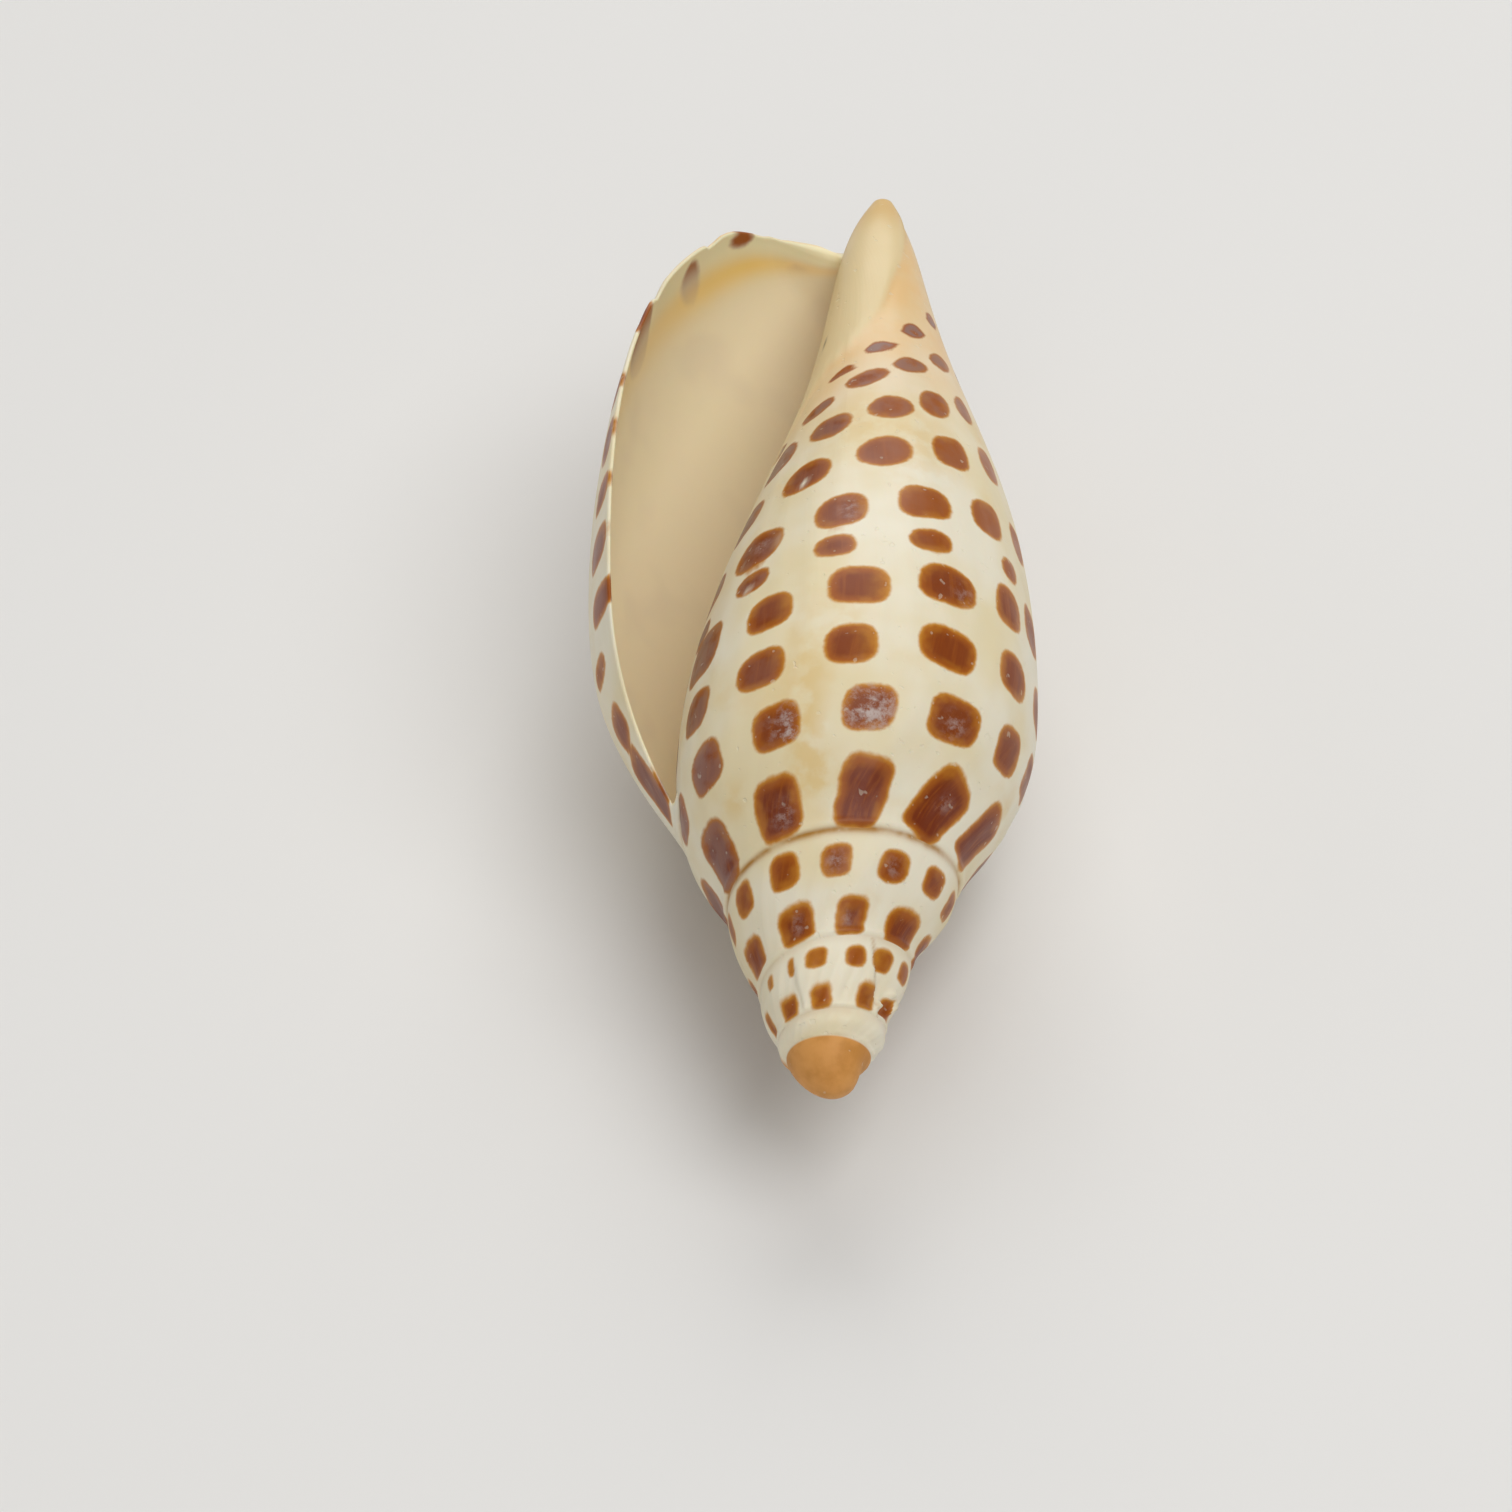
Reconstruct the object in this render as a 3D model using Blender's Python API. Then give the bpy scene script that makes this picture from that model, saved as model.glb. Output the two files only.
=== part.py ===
"""Junonia shell: the coiled shell of a sea snail, lying on its back with its mouth up.

The wall is one surface that winds round the shell's own axis. Two numbers name a place on it:
  turn   how far round the axis, in whole turns, 0 at the outer lip and negative towards the spire's tip
  along  how far down the whorl, 0 at the seam with the whorl above and 1 at the front end
A profile is a radius from the axis and a depth, the distance along the axis from the spire's tip.
Sizes are in millimetres up to the last step, which turns them into metres.
"""
import math

import bmesh
import bpy
import numpy as np
from mathutils import Matrix, Vector

# The seam between the whorls, from the start of the spire to one turn past the lip.
SEAM_TURNS = (-4.5, -4, -3.5, -3, -2, -1, 0, 1)
SEAM_RADIUS = (3.05, 3.3, 3.3, 3.9, 5.3, 8.3, 12.4, 19.0)
SEAM_DEPTH = (2.8, 2.8, 3.25, 4.15, 9.0, 16.7, 25.1, 36.4)

# Where along a whorl its marks are: seam, shoulder, next seam, four more, front end.
MARKS = (0, 0.13, 0.30, 0.44, 0.58, 0.72, 0.86, 1)
NEXT_SEAM = MARKS[2]

# The shoulder mark is this share of the way from one seam to the next, and the share grows each turn.
SHOULDER_SHARE = 0.36
SHOULDER_GROWTH = 0.05

# Radius and depth at the four marks past the next seam, on the lip and one turn before it.
PROFILE_AT_LIP = ((21.0, 46.0), (20.2, 67.9), (13.9, 83.0), (5.3, 87.7))
PROFILE_TURN_BEFORE = ((12.7, 35.0), (9.8, 49.2), (4.5, 67.8), (2.7, 84.4))
FRONT_END = (0.7, 92.1)
FRONT_ROUNDING = 0.4

# How far round the axis each mark of the lip's edge lies, in turns. The last ones cut the front notch.
LIP_SWING = (-0.05, -0.041, 0, 0.018, 0.010, 0.002, -0.093, -0.494)

# The front curves away from the lip, and the spire's tip stands a little off the axis.
BEND_TURN = 0.45
FRONT_BEND = 1.1
FRONT_BEND_START = 48.0
FRONT_BEND_REACH = 32.0
TIP_TURN = 0.38
TIP_OFFSET = 0.7
TIP_OFFSET_REACH = 9.6

# The wall, and the hollow behind the mouth, whose corners stay clear of the seam and the front end.
WALL = 1.5
LIP_EDGE = 0.6
LIP_THINS_OVER = 0.06
HOLLOW_TURNS = 1
ROOT = 0.345
FRONT_CORNER = 0.90
CORNER_REACH = (0.05, 0.12)
THICKEST_SHARE = 0.8
LIP_ROUNDING = 0.4

# Low folds on the pillar, a little way inside the mouth.
FOLD_COUNT = 4
FOLDS_FROM = 0.585
FOLDS_TO = 0.705
FOLD_HEIGHT = 0.6
FOLDS_END_TURN = -1.04
FOLDS_FADE_OVER = 0.10

# The dome on the spire's tip: its depth, how its sides and its top curve, and a dent in its side.
DOME_TIP = -0.5
DOME_CURVE = (1.14, 1.37)
DOME_DENT = 0.75
DENT_TURN, DENT_TURNS = -0.49, 0.10
DENT_SHARE, DENT_SHARES = 0.28, 0.22

# Mesh density. The lip's edge leaves the seam a whole number of columns behind the rest of it.
TURN = 60
LAG = round(-LIP_SWING[0] * TURN)
SPIRE_ROWS = 4
UPPER_ROWS = 5
LOWER_ROWS = 5
FRONT_ROWS = 3
DOME_RINGS = 5
START_TAPER = 0.4

# How the shell lies: rolled about its own axis, its front tipped up, and cut flat where it rests.
LIE_ROLL = math.radians(-69)
LIE_TIP = math.radians(8)
FLAT_DEPTH = 0.3
SNAP = 0.05

MM = 0.001
CREAM = (0.80, 0.70, 0.53, 1)
GLOSS_ROUGHNESS = 0.3


def smooth(x):
    """0 below 0, 1 above 1, and an even S-curve between."""
    x = np.clip(x, 0, 1)
    return x * x * (3 - 2 * x)


def natural_spline(knots, values):
    """A function that runs smoothly through one row of values at each knot."""
    knots, values = np.asarray(knots, float), np.asarray(values, float)
    gaps = np.diff(knots)
    slopes = np.diff(values, axis=0) / gaps[:, None]
    matrix, right = np.eye(len(knots)), np.zeros_like(values)
    for k in range(1, len(gaps)):
        matrix[k, k - 1:k + 2] = gaps[k - 1], 2 * (gaps[k - 1] + gaps[k]), gaps[k]
        right[k] = 6 * (slopes[k] - slopes[k - 1])
    curves = np.linalg.solve(matrix, right)

    def at(x):
        x = np.asarray(x, float)
        k = np.clip(np.searchsorted(knots, x, side="right") - 1, 0, len(gaps) - 1)
        gap, past, left = (step[..., None] for step in (gaps[k], x - knots[k], knots[k + 1] - x))
        line = (values[k] * left + values[k + 1] * past) / gap
        bow = curves[k] * (left ** 3 / gap - gap * left) + curves[k + 1] * (past ** 3 / gap - gap * past)
        return line + bow / 6

    return at


log_seam = natural_spline(SEAM_TURNS, np.column_stack((np.log(SEAM_RADIUS), SEAM_DEPTH)))
mark_weights = natural_spline(MARKS, np.eye(len(MARKS)))
lip_swing = natural_spline(MARKS, np.array(LIP_SWING)[:, None])


def seam(turn):
    """Profile of the seam above the whorl."""
    found = log_seam(turn)
    found[..., 0] = np.exp(found[..., 0])
    return found


def marks(turn):
    """Profile of the whorl's eight marks at each turn."""
    above, below = seam(turn), seam(turn + 1)
    share = SHOULDER_SHARE + SHOULDER_GROWTH * turn[..., None]
    found = [above, above + share * (below - above), below]
    for (radius, depth), (old_radius, old_depth) in zip(PROFILE_AT_LIP, PROFILE_TURN_BEFORE):
        grown = (radius * (radius / old_radius) ** turn, depth + (depth - old_depth) * turn)
        found.append(np.stack(grown, axis=-1))
    found.append(np.broadcast_to(FRONT_END, above.shape))
    return np.stack(found, axis=-2)


def folds(turn, along):
    """Height of the folds on the pillar. They die out before the mouth."""
    phase = (along - FOLDS_FROM) / (FOLDS_TO - FOLDS_FROM)
    ridges = np.sin(math.pi * FOLD_COUNT * np.clip(phase, 0, 1)) ** 4
    return FOLD_HEIGHT * ridges * smooth((FOLDS_END_TURN - turn) / FOLDS_FADE_OVER)


def outer_face(turn, along):
    """Profile of the wall's outer face."""
    turn, along = np.broadcast_arrays(np.asarray(turn, float), np.asarray(along, float))
    found = np.einsum("...k,...kc->...c", mark_weights(along), marks(turn))
    found[..., 0] += folds(turn, along)
    return found


def inner_face(turn, along):
    """Profile of the wall's inner face, which meets the whorl within at both corners of the hollow."""
    share = along / FRONT_CORNER
    outer, floor = outer_face(turn, along), outer_face(turn - 1, ROOT + share * (FRONT_CORNER - ROOT))
    wall = LIP_EDGE + (WALL - LIP_EDGE) * smooth(-turn / LIP_THINS_OVER)
    part = np.clip(wall / np.linalg.norm(floor - outer, axis=-1), 0, THICKEST_SHARE)
    away = smooth(share / CORNER_REACH[0]) * smooth((1 - share) / CORNER_REACH[1])
    return outer + (floor - outer) * (1 - (1 - part) * away)[..., None]


def in_space(turn, profile):
    """Points in space, on a shell whose axis runs along +Y and whose lip starts straight up."""
    radius, depth = profile[..., 0], profile[..., 1]
    bend = FRONT_BEND * np.clip((depth - FRONT_BEND_START) / FRONT_BEND_REACH, 0, None) ** 2
    lean = TIP_OFFSET * np.clip(1 - depth / TIP_OFFSET_REACH, 0, 1) ** 2
    x, z = 0.0, 0.0
    for reach, around in ((radius, turn), (bend, BEND_TURN), (lean, TIP_TURN)):
        x = x + reach * np.sin(2 * math.pi * around)
        z = z + reach * np.cos(2 * math.pi * around)
    return np.stack((x, depth, z), axis=-1)


def row_places():
    """Where along a whorl the mesh has its rows, and the numbers of the rows that later steps need."""
    spire = np.linspace(0, NEXT_SEAM, SPIRE_ROWS + 1)
    upper = np.linspace(ROOT, FOLDS_FROM, UPPER_ROWS)[:-1]
    middle = np.linspace(FOLDS_FROM, FOLDS_TO, 2 * FOLD_COUNT + 1)
    lower = np.linspace(FOLDS_TO, FRONT_CORNER, LOWER_ROWS)[1:]
    front = np.linspace(FRONT_CORNER, 1, FRONT_ROWS + 1)[1:]
    rows = np.concatenate((spire, upper, middle, lower, front))
    return rows, SPIRE_ROWS, SPIRE_ROWS + 1, len(rows) - 1 - FRONT_ROWS


class Skin:
    """A mesh in the making: points, and faces that name them by number."""

    def __init__(self):
        self.points, self.faces = [], []

    def add(self, points):
        """Add points, and give back their numbers in the same layout."""
        start = len(self.points)
        self.points.extend(points.reshape(-1, 3))
        return np.arange(start, len(self.points)).reshape(points.shape[:-1])

    def face(self, *corners):
        """Add a face. Corners that are one point count once."""
        distinct = list(dict.fromkeys(int(corner) for corner in corners))
        if len(distinct) > 2:
            self.faces.append(distinct)

    def sheet(self, numbers):
        """Fill a grid of points with four-sided faces."""
        for row, following in zip(numbers[:-1], numbers[1:]):
            for a, b, c, d in zip(row[:-1], row[1:], following[1:], following[:-1]):
                self.face(a, b, c, d)

    def fan(self, loop, centre):
        """Close a loop of points with a point at its middle."""
        middle = self.add(np.asarray(centre, float))
        for a, b in zip(loop, np.roll(loop, -1)):
            self.face(a, b, middle)


def outer_grid(skin, rows, seam_row):
    """Points of the outer face. The spire starts as a strip of no width that soon opens out."""
    columns = np.arange(round(SEAM_TURNS[0] * TURN), 1) / TURN
    opened = np.sin(math.pi / 2 * np.clip((columns - columns[0]) / START_TAPER, 0, 1))[:, None]
    turn = columns[:, None] + lip_swing(rows)[:, 0] * opened
    profile = outer_face(turn, rows)
    start = seam(turn + 1)
    spire = slice(0, seam_row + 1)
    profile[:, spire] = start[:, spire] + (profile[:, spire] - start[:, spire]) * opened[..., None]
    return turn, profile, skin.add(in_space(turn, profile))


def dome_ring(turn, profile, share):
    """Profile of the dome at a share of the way to its tip."""
    rise = math.pi / 2 * share
    depth = profile[..., 1] + (DOME_TIP - profile[..., 1]) * math.sin(rise) ** DOME_CURVE[1]
    away = np.minimum((turn - DENT_TURN) % 1, (DENT_TURN - turn) % 1) / DENT_TURNS
    dent = DOME_DENT * np.exp(-away ** 2 - ((share - DENT_SHARE) / DENT_SHARES) ** 2)
    dent *= smooth(share / DENT_SHARE)
    return np.stack((profile[..., 0] * math.cos(rise) ** DOME_CURVE[0] - dent, depth), axis=-1)


def close_spire(skin, turn, profile, numbers):
    """Cap the spire with a dome whose rings shrink towards the tip."""
    rings = [numbers]
    for k in range(1, DOME_RINGS):
        rings.append(skin.add(in_space(turn, dome_ring(turn, profile, k / DOME_RINGS))))
    skin.sheet([np.append(ring, ring[0]) for ring in rings])
    skin.fan(rings[-1], in_space(np.array(0.0), np.array((0.0, DOME_TIP))))


def round_lip(skin, outer, inner):
    """Join the two faces of the wall along the lip's edge, with one row that makes it round."""
    points = np.array(skin.points)
    out, back = points[outer], points[inner]
    ahead = np.cross((0, 1, 0), out)
    ahead /= np.linalg.norm(ahead, axis=-1)[:, None]
    thickness = np.linalg.norm(out - back, axis=-1)[:, None]
    edge = skin.add((out + back) / 2 + ahead * thickness * LIP_ROUNDING)
    edge[[0, -1]] = outer[[0, -1]]
    skin.sheet([outer, edge, inner])


def build_skin():
    """The whole shell as one closed skin."""
    rows, seam_row, root_row, corner_row = row_places()
    skin = Skin()
    turn, profile, outer = outer_grid(skin, rows, seam_row)
    lip = len(outer) - 1
    hollow = lip - round(HOLLOW_TURNS * TURN)

    # Each whorl's seam row is the top row of the whorl a turn later.
    outer[:lip + 1 - TURN - LAG, seam_row] = outer[TURN + LAG:, 0]
    outer[0, :seam_row] = outer[0, seam_row]
    outer[lip, -1] = outer[lip - TURN, -1]

    inner_rows = rows[:corner_row + 1]
    inner_turn = turn[hollow:, :corner_row + 1]
    inner = skin.add(in_space(inner_turn, inner_face(inner_turn, inner_rows)))
    inner[:, 0] = outer[hollow - TURN - LAG:lip + 1 - TURN - LAG, root_row]
    inner[:, -1] = outer[hollow - TURN:lip + 1 - TURN, corner_row]

    floor_start = hollow - TURN - LAG
    skin.sheet(outer[:, :seam_row + 1])
    skin.sheet(outer[lip - TURN - LAG:, seam_row:root_row + 1])
    skin.sheet(outer[floor_start:, root_row:corner_row + 1])
    skin.sheet(outer[lip - TURN:, corner_row:])
    skin.sheet(inner)
    round_lip(skin, outer[lip, :corner_row + 1], inner[-1])
    skin.sheet([outer[lip, corner_row:], outer[lip - TURN, corner_row:]])

    first_ring = slice(1, TURN + LAG + 1)
    close_spire(skin, turn[first_ring, 0], profile[first_ring, 0], outer[first_ring, 0])
    front = outer[lip - TURN:lip, -1]
    skin.fan(front, in_space(np.array(0.0), np.array((0.0, FRONT_END[1] + FRONT_ROUNDING))))
    dead_end = np.concatenate((inner[0], outer[floor_start:floor_start + LAG, corner_row][::-1],
                               outer[floor_start, root_row + 1:corner_row][::-1]))
    skin.fan(dead_end, np.mean(np.array(skin.points)[dead_end], axis=0))
    return skin


def lay_down(bm):
    """Turn the shell onto its back, cut the flat spot that it rests on, and stand it on the ground."""
    lie = Matrix.Rotation(LIE_TIP, 4, "X") @ Matrix.Rotation(LIE_ROLL, 4, "Y")
    bmesh.ops.transform(bm, matrix=Matrix.Scale(MM, 4) @ lie, verts=bm.verts)
    ground = min(vert.co.z for vert in bm.verts) + FLAT_DEPTH * MM
    cut = bmesh.ops.bisect_plane(bm, geom=bm.verts[:] + bm.edges[:] + bm.faces[:], dist=SNAP * MM,
                                 use_snap_center=True, plane_co=(0, 0, ground), plane_no=(0, 0, 1),
                                 clear_inner=True)
    rim = [piece for piece in cut["geom_cut"] if isinstance(piece, bmesh.types.BMEdge)]
    bmesh.ops.contextual_create(bm, geom=rim)
    low, high = (Vector(pick(vert.co[axis] for vert in bm.verts) for axis in range(3)) for pick in (min, max))
    middle = (low + high) / 2
    bmesh.ops.translate(bm, vec=(-middle.x, -middle.y, -ground), verts=bm.verts)


def shell_material():
    """Plain glossy cream."""
    material = bpy.data.materials.new("shell")
    material.use_nodes = True
    shader = material.node_tree.nodes["Principled BSDF"]
    shader.inputs["Base Color"].default_value = CREAM
    shader.inputs["Roughness"].default_value = GLOSS_ROUGHNESS
    shader.inputs["Metallic"].default_value = 0
    return material


def shell_object(skin):
    """Turn the skin into the object."""
    bm = bmesh.new()
    used = sorted({number for face in skin.faces for number in face})
    verts = {number: bm.verts.new(skin.points[number]) for number in used}
    for face in skin.faces:
        bm.faces.new([verts[number] for number in face])
    lay_down(bm)
    bmesh.ops.triangulate(bm, faces=bm.faces[:])
    bmesh.ops.recalc_face_normals(bm, faces=bm.faces[:])
    mesh = bpy.data.meshes.new("shell")
    bm.to_mesh(mesh)
    bm.free()
    mesh.shade_smooth()
    mesh.materials.append(shell_material())
    obj = bpy.data.objects.new("shell", mesh)
    bpy.context.scene.collection.objects.link(obj)
    return obj


def main():
    for obj in list(bpy.data.objects):
        bpy.data.objects.remove(obj)
    shell_object(build_skin())


main()
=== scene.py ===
"""Junonia shell: the looks of the shell, lying on a pale floor under soft light.

The wall is one surface that winds round the shell's own axis. Two numbers name a place on it:
  turn   how far round the axis, in whole turns, 0 at the outer lip and negative towards the spire's tip
  along  how far down the whorl, 0 at the seam with the whorl above and 1 at the front end
A profile is a radius from the axis and a depth, the distance along the axis from the spire's tip.
Sizes are in millimetres up to the last step, which turns them into metres.
"""

import math
from typing import NamedTuple

import bmesh
import bpy
import numpy as np
from mathutils import Matrix, Vector, noise


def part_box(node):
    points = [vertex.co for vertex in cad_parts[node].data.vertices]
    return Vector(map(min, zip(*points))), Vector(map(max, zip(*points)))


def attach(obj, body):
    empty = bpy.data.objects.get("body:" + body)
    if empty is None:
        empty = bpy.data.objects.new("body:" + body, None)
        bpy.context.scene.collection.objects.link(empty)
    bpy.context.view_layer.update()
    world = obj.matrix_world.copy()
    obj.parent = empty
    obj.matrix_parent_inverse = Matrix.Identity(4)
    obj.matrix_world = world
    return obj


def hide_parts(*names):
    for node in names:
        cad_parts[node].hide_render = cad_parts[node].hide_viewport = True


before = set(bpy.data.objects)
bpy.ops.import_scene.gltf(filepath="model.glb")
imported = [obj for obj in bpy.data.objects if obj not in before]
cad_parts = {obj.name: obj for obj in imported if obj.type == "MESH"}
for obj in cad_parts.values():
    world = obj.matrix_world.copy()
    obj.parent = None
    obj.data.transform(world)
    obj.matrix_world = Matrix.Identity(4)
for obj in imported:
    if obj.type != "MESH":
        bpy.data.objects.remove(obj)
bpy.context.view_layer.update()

# The seam between the whorls, from the start of the spire to one turn past the lip.
SEAM_TURNS = (-4.5, -4, -3.5, -3, -2, -1, 0, 1)
SEAM_RADIUS = (3.05, 3.3, 3.3, 3.9, 5.3, 8.3, 12.4, 19.0)
SEAM_DEPTH = (2.8, 2.8, 3.25, 4.15, 9.0, 16.7, 25.1, 36.4)

# Where along a whorl its marks are: seam, shoulder, next seam, four more, front end.
MARKS = (0, 0.13, 0.3, 0.44, 0.58, 0.72, 0.86, 1)
NEXT_SEAM = MARKS[2]

# The shoulder mark is this share of the way from one seam to the next, and the share grows each turn.
SHOULDER_SHARE = 0.36
SHOULDER_GROWTH = 0.05

# Radius and depth at the four marks past the next seam, on the lip and one turn before it.
PROFILE_AT_LIP = ((21.0, 46.0), (20.2, 67.9), (13.9, 83.0), (5.3, 87.7))
PROFILE_TURN_BEFORE = ((12.7, 35.0), (9.8, 49.2), (4.5, 67.8), (2.7, 84.4))
FRONT_END = (0.7, 92.1)
FRONT_ROUNDING = 0.4

# How far round the axis each mark of the lip's edge lies, in turns. The last ones cut the front notch.
LIP_SWING = (-0.05, -0.041, 0, 0.018, 0.01, 0.002, -0.093, -0.494)

# The turn at which the spire ends. Past it the whorl has no next seam, because the lip hasn't covered it.
SPIRE_END = -1 + LIP_SWING[0]

# The front curves away from the lip, and the spire's tip stands a little off the axis.
BEND_TURN = 0.45
FRONT_BEND = 1.1
FRONT_BEND_START = 48.0
FRONT_BEND_REACH = 32.0
TIP_TURN = 0.38
TIP_OFFSET = 0.7
TIP_OFFSET_REACH = 9.6

# The wall, which thins towards the lip and is thick in both corners of the hollow behind the mouth. The
# corners stay clear of the seam and the front end.
WALL = 1.5
LIP_EDGE = 0.4
LIP_THINS_OVER = 0.25
HOLLOW_TURNS = 1
ROOT = 0.345
FRONT_CORNER = 0.9
CORNER_REACH = (0.05, 0.12)
THICKEST_SHARE = 0.8

# How far the lip's rounded edge stands out, as a share of its thickness, and its steps.
LIP_ROUNDING = 0.6
LIP_RINGS = 5

# Low folds on the pillar, a little way inside the mouth.
FOLD_COUNT = 4
FOLDS_FROM = 0.585
FOLDS_TO = 0.705
FOLD_HEIGHT = 0.6
FOLDS_FADE = (-1.04, -1.14)

# Mesh density. The lip's edge leaves the seam a whole number of columns behind the rest of it.
TURN = 180
LAG = round(-LIP_SWING[0] * TURN)
SPIRE_ROWS = 40
SEAM_CROWDING = 0.65
ROOT_ROWS = 5
UPPER_ROWS = 38
MIDDLE_ROWS = 24
LOWER_ROWS = 24
FRONT_ROWS = 12
DOME_RINGS = 16
START_TAPER = 0.4

# The dome on the spire's tip: its depth, how its sides and its top curve, and a dent in its side.
DOME_TIP = -0.5
DOME_CURVE = (1.14, 1.37)
DOME_DENT = 0.65
DENT_TURN = -0.485
DENT_TURNS = 0.12
DENT_SHARE = 0.28
DENT_SHARES = 0.22

# Small chips in the lip's edge: where along it, how wide along it, and how deep in turns.
LIP_CHIPS = ((0.6, 0.005, 0.003), (0.63, 0.006, 0.008), (0.708, 0.006, 0.007), (0.735, 0.022, -0.005),
             (0.775, 0.006, 0.003), (0.8, 0.005, 0.002))
CHIPS_REACH_BACK = 0.03

# Healed breaks on the third whorl: a raised ledge where growth went on over an old edge, and a sunken one
# where it started afresh. Each has its turn at places along the whorl, its height and its reach in turns.
SCAR_ALONG = (0, 0.14, 0.22, 0.3)
SCARS = (((-2.88, -2.882, -2.886, -2.89), 0.2, 0.22), ((-2.645, -2.67, -2.69, -2.716), -0.42, 0.1))
SCAR_EDGE = 0.006

# Crumpled ridges beside the sunken ledge, where the new growth folded: turn, along, half sizes in both and
# height.
CRUMPLES = ((-2.648, 0.085, 0.009, 0.045, 0.95), (-2.588, 0.13, 0.008, 0.035, 0.7),
            (-2.62, 0.018, 0.02, 0.015, 0.6), (-2.612, 0.175, 0.014, 0.014, 0.6))

# Faint waves of growth across the whorls, one run wide and one fine, with a slow swing in their spacing.
WAVES_PER_TURN = (9, 31)
WAVE_HEIGHTS = (0.05, 0.02)
WAVE_SWING = 2
WAVE_SWING_RATE = 9

# Where along a whorl the waves and the healed breaks come in and end, and how far they keep off the seam.
RELIEF_START = (0, 0.08)
RELIEF_END = (0.75, 0.55)
RELIEF_OFF_SEAM = 0.06

# The seams lie in a groove below a slightly raised rim, in millimetres. The groove is deepest along the
# seam's last turn, and has a share of that depth before it.
NEW_SEAM_TURNS = (-1.5, -1.1)
OLD_GROOVE_SHARE = 0.3
GROOVE_DEPTH = 0.11
GROOVE_WIDTH = 0.28
RIM_HEIGHT = 0.1
RIM_PLACE = 0.75
RIM_WIDTH = 0.45

# The glaze that spreads from the mouth over the whorl within: its edge's turn at places along the whorl,
# how wide its edge and the thin film beyond it are in turns, its height, and the oldest turn it raises.
GLAZE_ALONG = (0.3, 0.5, 0.62, 0.69, 0.71, 0.727, 0.74, 0.765, 0.8, 0.826, 0.87, 1)
GLAZE_TURN = (-1.1, -1.04, -1.00, -0.95, -0.91, -0.842, -0.807, -0.767, -0.739, -0.709, -0.68, -0.6)
GLAZE_EDGE = 0.025
GLAZE_FILM = 0.12
GLAZE_HEIGHT = 0.22
GLAZE_OLDEST = -1.5

# How the shell lies: rolled about its own axis, its front tipped up, and flat where it rests.
LIE_ROLL = math.radians(-69)
LIE_TIP = math.radians(8)
FLAT_DEPTH = 0.3

# The camera: its turns about the shell's own Y, X and Z in degrees, its place after them, and its lens.
CAMERA_TURNS = ((71.67, "Y"), (37.46, "X"), (2.9, "Z"))
CAMERA_PLACE = (-5.134, 25.5, 418.1)
CAMERA_LENS = 130.95
SENSOR = 36.0

# Each light's name, place, size and power, all in metres and watts, and the point that they face.
LIGHTS = (("key", (0.42, -0.22, 1.0), 0.8, 5.4), ("front", (-0.05, -0.75, 0.85), 1.0, 2.8),
          ("back", (0, 0.85, 0.75), 0.8, 5.4), ("left", (-1.0, 0, 0.45), 0.8, 1.0))
LIT_POINT = (0, 0, 0.01)
SURROUND = 0.2
FLOOR_SIZE = 3.0

# A millimetre in metres, a distance in millimetres that counts as far, and a number next to nothing.
MM = 0.001
FAR = 9.0
TINY = 1e-6


class Row(NamedTuple):
    """A row of spots that winds with the whorls."""
    boxy: float   # 2 for an oval spot, more for a squarer one, less for a pointed one
    tilt: float   # in degrees
    wear: float   # 0 fresh, 1 worn grey
    pitch: float  # between spots in turns, where none is listed
    spots: tuple  # turn, along, half width in turns and half height along, of the spots that show


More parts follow.
